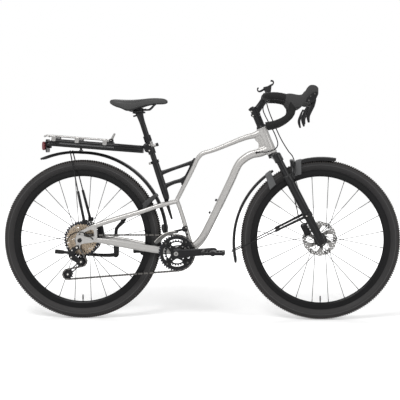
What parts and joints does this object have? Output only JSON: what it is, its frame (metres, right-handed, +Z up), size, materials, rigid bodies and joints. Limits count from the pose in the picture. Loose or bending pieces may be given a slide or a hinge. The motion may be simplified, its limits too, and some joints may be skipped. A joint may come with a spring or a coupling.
{
  "type": "gravel bicycle",
  "caption": "Gravel bicycle with a bent frame, drop bar, short suspension fork, disc brakes, fenders, beam rack, kickstand and derailleur drive.",
  "frame": {"origin": "on the ground, midway between the wheel axles, on the bike's centre plane", "axes": "+X ahead, +Y to the rider's left, +Z up"},
  "size_m": [1.809, 0.4648, 1.0828],
  "materials": {
    "silver_frame": "satin metallic paint",
    "silver_alloy": "satin anodised",
    "black_paint": "satin black",
    "black_alloy": "black anodised",
    "black_plastic": "moulded, fine grain",
    "hose_black": "smooth",
    "tyre_rubber": "matte, knobbed",
    "grip_tape": "wrapped, matte",
    "hood_rubber": "matte",
    "bright_steel": "brushed",
    "cog_steel": "plated",
    "lamp_red": "clear red lens",
    "saddle_cover": "synthetic, fine grain"
  },
  "bodies": {
    "frame": {"main_frame": "silver_frame", "seat_mast": "black_paint", "bearing_cups": "black_alloy", "seat_post": "black_alloy", "saddle_rails": "bright_steel", "saddle": "saddle_cover", "rack_beam": "black_paint", "rack_clamp": "silver_alloy", "rack_rails": "silver_alloy", "tail_lamp": "lamp_red", "rear_fender": "black_plastic", "rear_caliper": "black_alloy", "rear_axle": "black_alloy", "front_mech_mount": "black_alloy", "stand_bracket": "black_alloy", "rear_brake_hose": "hose_black", "mech_housing": "hose_black", "front_mech_cable": "bright_steel", "chain": "cog_steel", "rear_derailleur": "black_alloy"},
    "rack_lever_arm": {"rack_lever": "black_plastic"},
    "kickstand": {"stand_leg": "black_alloy"},
    "steering": {"fork_crown": "black_paint", "headset_spacers": "black_alloy", "stem": "black_alloy", "handlebar": "black_alloy", "phone_holder": "black_plastic", "bar_tape_right": "grip_tape", "bar_tape_left": "grip_tape", "brake_hood_right": "hood_rubber", "brake_hood_left": "hood_rubber"},
    "brake_right": {"brake_lever_right": "black_alloy"},
    "brake_left": {"brake_lever_left": "black_alloy"},
    "shift_right": {"shift_lever_right": "black_alloy"},
    "shift_left": {"shift_lever_left": "black_alloy"},
    "suspension": {"fork_lowers": "black_paint", "front_caliper": "black_alloy", "front_axle": "black_alloy", "front_fender_nose": "black_plastic", "front_fender_tail": "black_plastic", "front_fender_stays": "black_alloy", "front_brake_hose": "hose_black"},
    "front_wheel": {"front_tyre": "tyre_rubber", "front_rim": "black_alloy", "front_hub": "black_alloy", "front_rotor": "bright_steel"},
    "rear_wheel": {"rear_tyre": "tyre_rubber", "rear_rim": "black_alloy", "rear_hub": "black_alloy", "rear_rotor": "bright_steel"},
    "cassette_cluster": {"cassette": "cog_steel"},
    "crankset": {"chainrings": "black_alloy", "crank_right": "black_alloy", "crank_left": "black_alloy"},
    "pedal_right_body": {"pedal_right": "black_paint"},
    "pedal_left_body": {"pedal_left": "black_paint"},
    "derailleur_arm": {"derailleur_cage": "black_alloy"},
    "guide_wheel": {"guide_pulley": "black_plastic"},
    "tension_wheel": {"tension_pulley": "black_plastic"},
    "front_shifter": {"front_cage": "black_alloy"}
  },
  "joints": [
    {"name": "steering_turn", "type": "hinge", "parent": "frame", "child": "steering", "pos_m": [0.32396, 0, 0.75477], "axis": [-0.3827, 0, 0.9239], "range_deg": [-45, 45], "deforming": ["rear_brake_hose", "front_brake_hose"]},
    {"name": "fork_slide", "type": "slide", "parent": "steering", "child": "suspension", "axis": [-0.4617, 0, 0.887], "range_m": [0, 0.04], "stiffness_N_per_m": 12000, "springref_m": -0.008, "deforming": ["front_brake_hose"]},
    {"name": "front_wheel_spin", "type": "hinge", "parent": "suspension", "child": "front_wheel", "pos_m": [0.5425, 0, 0.362], "axis": [0, 1, 0], "continuous": true},
    {"name": "rear_wheel_spin", "type": "hinge", "parent": "frame", "child": "rear_wheel", "pos_m": [-0.5425, 0, 0.362], "axis": [0, 1, 0], "continuous": true},
    {"name": "crank_turn", "type": "hinge", "parent": "frame", "child": "crankset", "pos_m": [-0.10634, 0, 0.304], "axis": [0, 1, 0], "continuous": true, "deforming": ["chain"]},
    {"name": "cassette_turn", "type": "hinge", "parent": "frame", "child": "cassette_cluster", "pos_m": [-0.5425, 0, 0.362], "axis": [0, 1, 0], "continuous": true},
    {"name": "guide_wheel_turn", "type": "hinge", "parent": "frame", "child": "guide_wheel", "pos_m": [-0.536, 0, 0.2655], "axis": [0, 1, 0], "continuous": true},
    {"name": "tension_wheel_turn", "type": "hinge", "parent": "derailleur_arm", "child": "tension_wheel", "pos_m": [-0.59899, 0, 0.20695], "axis": [0, 1, 0], "continuous": true},
    {"name": "pedal_right_turn", "type": "hinge", "parent": "crankset", "child": "pedal_right_body", "pos_m": [0.06323, -0.14, 0.31616], "axis": [0, 1, 0], "continuous": true},
    {"name": "pedal_left_turn", "type": "hinge", "parent": "crankset", "child": "pedal_left_body", "pos_m": [-0.2759, 0.14, 0.29185], "axis": [0, 1, 0], "continuous": true},
    {"name": "derailleur_swing", "type": "hinge", "parent": "frame", "child": "derailleur_arm", "pos_m": [-0.536, 0, 0.2655], "axis": [0, 1, 0], "range_deg": [-60, 0], "stiffness_Nm_per_rad": 0.6, "springref_deg": 40.11, "deforming": ["chain"]},
    {"name": "front_shift_slide", "type": "slide", "parent": "frame", "child": "front_shifter", "axis": [0, 1, 0], "range_m": [0, 0.0065], "deforming": ["chain"]},
    {"name": "kickstand_swing", "type": "hinge", "parent": "frame", "child": "kickstand", "pos_m": [-0.405, 0.0865, 0.279], "axis": [0, -0.9659, -0.2588], "range_deg": [0, 108]},
    {"name": "rack_lever_tilt", "type": "hinge", "parent": "frame", "child": "rack_lever_arm", "pos_m": [-0.41221, 0, 0.81251], "axis": [0, 1, 0], "range_deg": [0, 50]},
    {"name": "brake_squeeze_right", "type": "hinge", "parent": "steering", "child": "brake_right", "pos_m": [0.50603, -0.2105, 1.00007], "axis": [0, 1, 0], "range_deg": [0, 14], "stiffness_Nm_per_rad": 0.8, "springref_deg": -17.19},
    {"name": "shift_swing_right", "type": "hinge", "parent": "brake_right", "child": "shift_right", "pos_m": [0.47303, -0.2105, 0.95507], "axis": [1, 0, 0], "range_deg": [0, 15], "stiffness_Nm_per_rad": 0.3, "springref_deg": -11.46},
    {"name": "brake_squeeze_left", "type": "hinge", "parent": "steering", "child": "brake_left", "pos_m": [0.50603, 0.2105, 1.00007], "axis": [0, 1, 0], "range_deg": [0, 14], "stiffness_Nm_per_rad": 0.8, "springref_deg": -17.19},
    {"name": "shift_swing_left", "type": "hinge", "parent": "brake_left", "child": "shift_left", "pos_m": [0.47303, 0.2105, 0.95507], "axis": [-1, 0, 0], "range_deg": [0, 15], "stiffness_Nm_per_rad": 0.3, "springref_deg": -11.46}
  ],
  "couplings": [
    {"joint": "cassette_turn", "follows": "crank_turn", "ratio": 3.6364},
    {"joint": "guide_wheel_turn", "follows": "crank_turn", "ratio": -3.6364},
    {"joint": "tension_wheel_turn", "follows": "crank_turn", "ratio": 3.6364}
  ]
}
